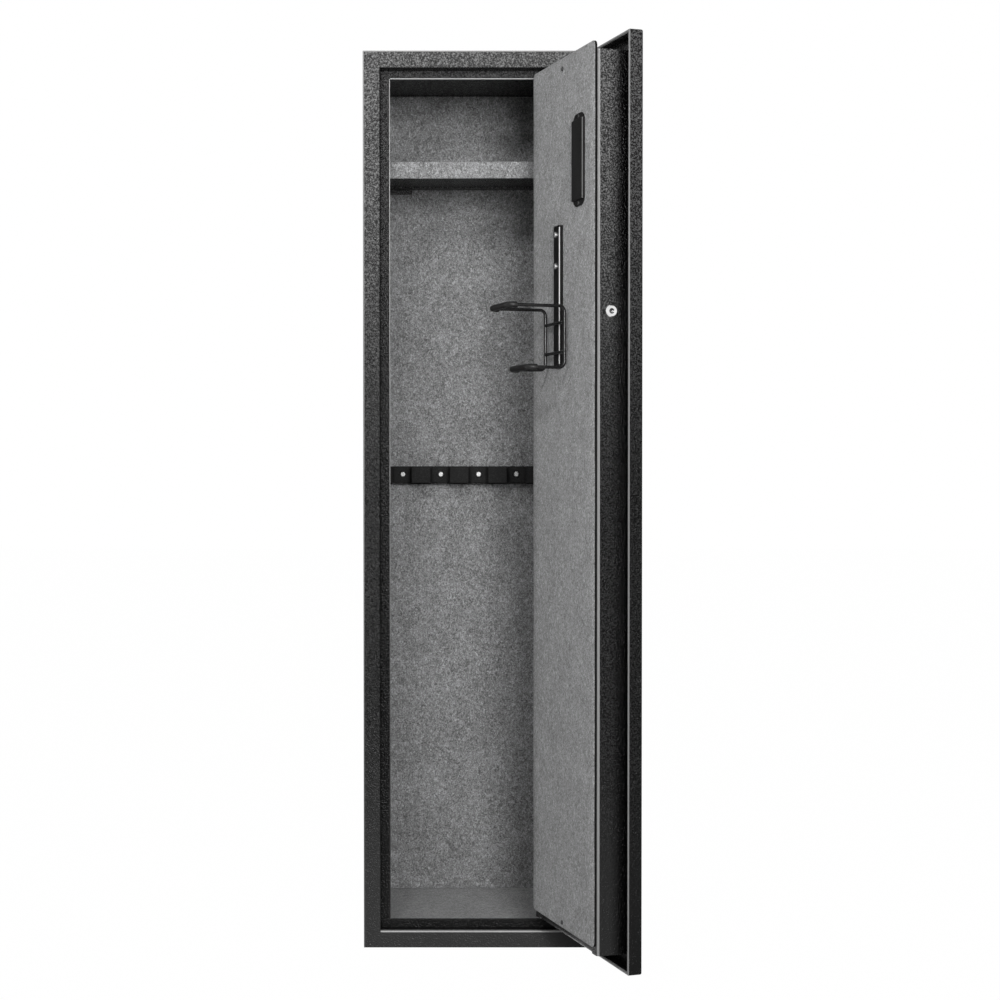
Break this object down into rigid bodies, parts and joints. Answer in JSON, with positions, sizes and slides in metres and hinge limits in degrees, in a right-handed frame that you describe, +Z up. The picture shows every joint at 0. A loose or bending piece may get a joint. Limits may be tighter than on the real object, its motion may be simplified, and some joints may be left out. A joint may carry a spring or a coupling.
{
  "type": "gun safe",
  "caption": "Tall narrow steel cabinet with an inset pivoting door standing open, felt lining, a shelf, a notched barrel rest and a wire pistol rack on the door.",
  "frame": {"origin": "centre of the cabinet's underside, on the floor", "axes": "+Z up; +X to the right of the front; +Y into the cabinet, so the front faces -Y"},
  "size_m": [0.43, 0.6395, 1.45],
  "materials": {
    "painted_shell": "hammered black paint, semi-gloss",
    "painted_inner": "black powder coat, satin",
    "grey_felt": "short grey felt",
    "fibre_board": "dark dyed fibre board, matt",
    "rest_foam": "closed-cell foam, matt",
    "zinc_steel": "bright zinc plate",
    "polished_steel": "bright plated steel",
    "black_screws": "black oxide, satin",
    "bearing_bronze": "sintered bronze, oiled",
    "panel_plastic": "fine textured black plastic",
    "knob_chrome": "satin chrome",
    "key_metal": "satin nickel",
    "scanner_glass": "dark tinted window",
    "lamp_plastic": "clear lamp lens",
    "button_plastic": "smooth black plastic",
    "circuit_board": "green solder mask",
    "cell_wrap": "plain dark shrink sleeve",
    "rack_coating": "black dipped coating, satin",
    "rack_sleeving": "soft black vinyl, satin",
    "lead_sleeve": "black sleeve"
  },
  "bodies": {
    "cabinet": {"left_panel": "painted_shell", "right_panel": "painted_shell", "back_panel": "painted_shell", "top_panel": "painted_shell", "base_panel": "painted_shell", "left_jamb": "painted_shell", "right_jamb": "painted_shell", "sill_jamb": "painted_shell", "head_jamb": "painted_shell", "pivot_bushes": "bearing_bronze", "thrust_washer": "bearing_bronze", "floor_board": "fibre_board", "floor_felt": "grey_felt", "back_felt": "grey_felt", "side_felts": "grey_felt", "shelf_tray": "painted_inner", "shelf_felt": "grey_felt", "shelf_cleats": "painted_inner", "shelf_rear_angle": "painted_inner", "rest_bracket": "painted_inner", "rest_pad": "rest_foam", "rest_screws": "polished_steel"},
    "door": {"door_pan": "painted_shell", "free_side_channel": "painted_inner", "hinge_side_channel": "painted_inner", "door_rails": "painted_inner", "liner_board": "fibre_board", "liner_felt": "grey_felt", "liner_screws": "black_screws", "pivot_blocks": "zinc_steel", "pivot_pins": "polished_steel", "bolt_guide": "zinc_steel", "bar_guides": "zinc_steel", "lock_plate": "zinc_steel", "lock_posts": "zinc_steel", "spindle_bush": "bearing_bronze", "solenoid": "zinc_steel", "lock_panel": "panel_plastic", "scanner_window": "scanner_glass", "lamps": "lamp_plastic", "key_case": "key_metal", "control_board": "circuit_board", "battery_tray": "panel_plastic", "battery_cells": "cell_wrap", "battery_contacts": "zinc_steel", "battery_cover": "panel_plastic", "rack_channel": "rack_coating", "rack_upper_loop": "rack_coating", "rack_lower_loop": "rack_coating", "rack_uprights": "rack_coating", "rack_sleeves": "rack_sleeving", "rack_screws": "polished_steel", "lock_leads": "lead_sleeve"},
    "bolt": {"locking_bolt": "polished_steel", "bolt_bar": "zinc_steel"},
    "knob": {"knob": "knob_chrome", "spindle_cam": "polished_steel"},
    "plunger": {"plunger": "polished_steel"},
    "button": {"open_button": "button_plastic"},
    "key_plug": {"key_plug": "key_metal"}
  },
  "joints": [
    {"name": "door_swing", "type": "hinge", "parent": "cabinet", "child": "door", "pos_m": [0.1455, -0.173, 0], "axis": [0, 0, 1], "range_deg": [-108.8, 2.5]},
    {"name": "knob_turn", "type": "hinge", "parent": "door", "child": "knob", "pos_m": [0.20868, -0.33688, 1.009], "axis": [0.9466, 0.3223, 0], "range_deg": [0, 90]},
    {"name": "bolt_slide", "type": "slide", "parent": "door", "child": "bolt", "axis": [0.3223, -0.9466, 0], "range_m": [0, 0.0201]},
    {"name": "plunger_rise", "type": "slide", "parent": "door", "child": "plunger", "axis": [0, 0, 1], "range_m": [0, 0.0041]},
    {"name": "button_press", "type": "slide", "parent": "door", "child": "button", "axis": [-0.9466, -0.3223, 0], "range_m": [0, 0.0015], "stiffness_N_per_m": 300},
    {"name": "key_turn", "type": "hinge", "parent": "door", "child": "key_plug", "pos_m": [0.20868, -0.33688, 1.062], "axis": [0.9466, 0.3223, 0], "range_deg": [0, 90]}
  ],
  "couplings": [
    {"joint": "bolt_slide", "follows": "knob_turn", "m_per_rad": 0.012732},
    {"joint": "plunger_rise", "follows": "knob_turn", "m_per_rad": 0.0025465}
  ]
}
